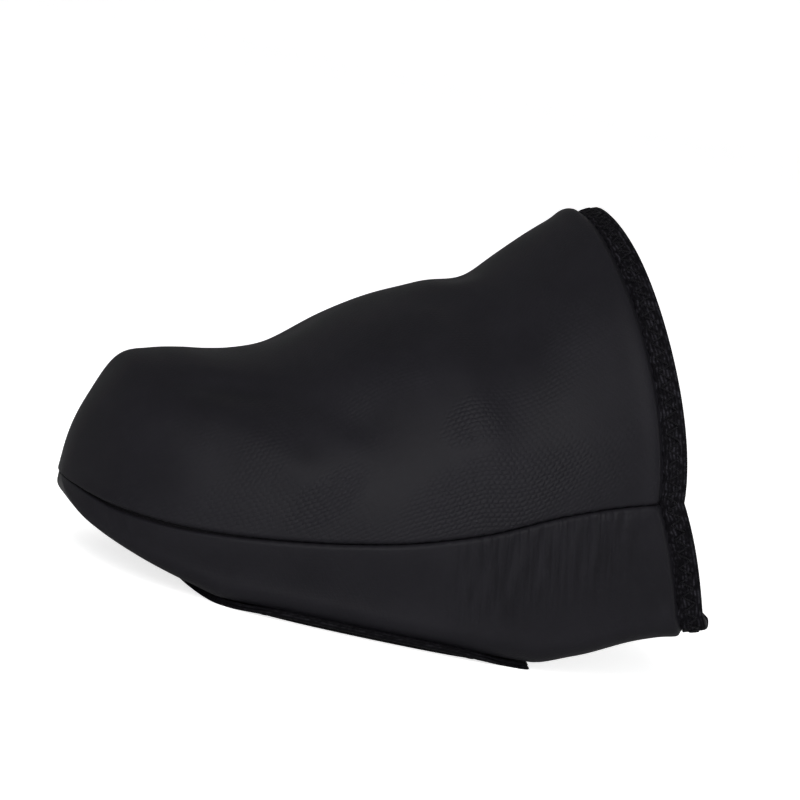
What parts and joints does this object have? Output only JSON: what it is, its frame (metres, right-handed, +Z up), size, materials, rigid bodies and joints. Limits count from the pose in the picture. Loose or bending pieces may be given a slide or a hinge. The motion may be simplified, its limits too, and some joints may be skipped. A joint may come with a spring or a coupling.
{
  "type": "cycling overshoe, toe cover",
  "caption": "Hollow neoprene toe cover for a left cycling shoe, open at the rear collar and under the ball for the cleat, with taped edges.",
  "frame": {"origin": "on the floor under the middle of the box, as the empty cover stands on the hem of its cleat opening", "axes": "+Z up, -X to the toe, +X to the collar, -Y to the wearer's outer side"},
  "size_m": [0.1418, 0.099, 0.0985],
  "materials": {
    "neoprene": "smooth matte knit facing on neoprene foam",
    "elastic_tape": "woven elastic tape, zigzag stitched"
  },
  "bodies": {
    "root": {"upper_panel": "neoprene", "sole_panel": "neoprene", "collar_binding": "elastic_tape", "opening_binding": "elastic_tape"}
  },
  "joints": []
}
